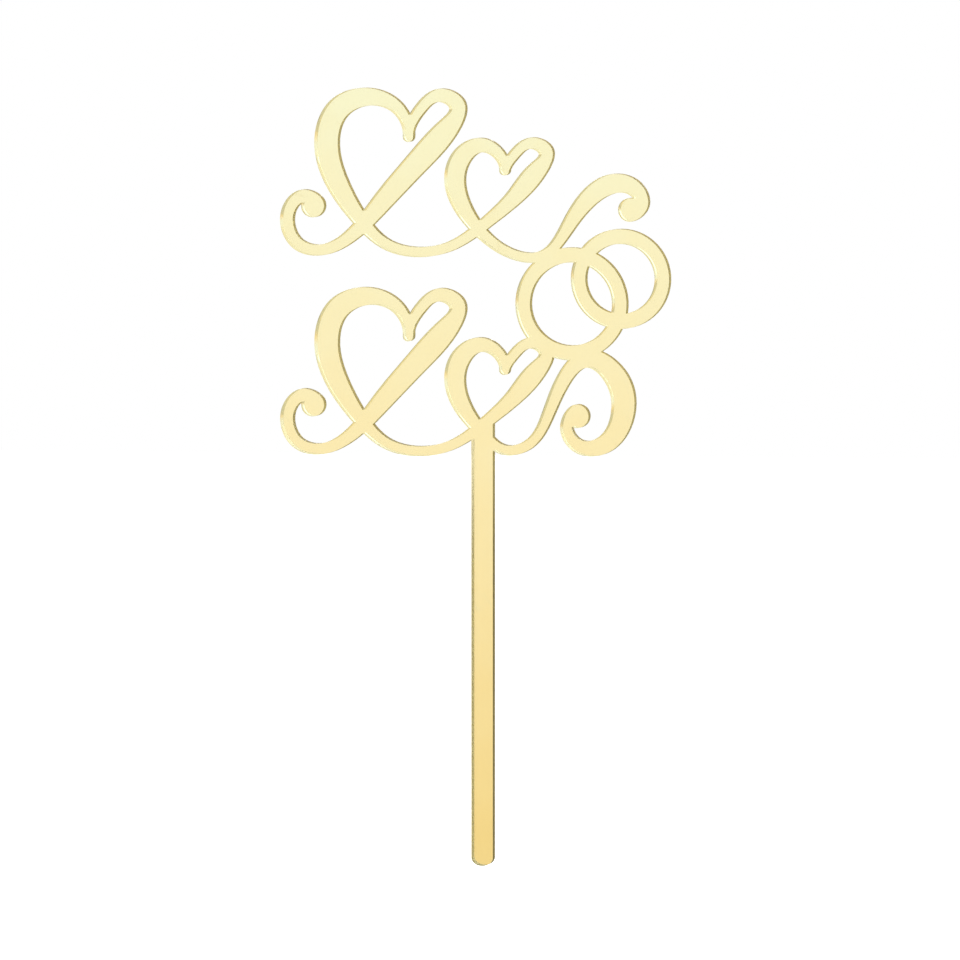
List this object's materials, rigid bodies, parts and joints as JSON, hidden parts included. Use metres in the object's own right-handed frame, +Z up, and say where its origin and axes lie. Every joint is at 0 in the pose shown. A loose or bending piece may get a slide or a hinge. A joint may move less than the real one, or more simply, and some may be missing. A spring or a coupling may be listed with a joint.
{
  "type": "cake topper",
  "caption": "Flat gold mirror acrylic cake topper: an openwork head of scrolled hearts and linked rings on one long flat stick that pushes into a cake.",
  "frame": {"origin": "tip of the stick, on its centre line and half way through the sheet", "axes": "+Z up the stick to the head, -Y out of the mirror front towards the viewer, +X to the viewer's right"},
  "size_m": [0.0905, 0.003, 0.1781],
  "materials": {
    "amber_acrylic": "clear amber cast acrylic, glossy, with laser-cut edges",
    "gold_mirror": "pale gold mirror film",
    "back_paint": "satin warm grey protective paint"
  },
  "bodies": {
    "root": {"acrylic_sheet": "amber_acrylic", "mirror_film": "gold_mirror", "back_coat": "back_paint"}
  },
  "joints": []
}
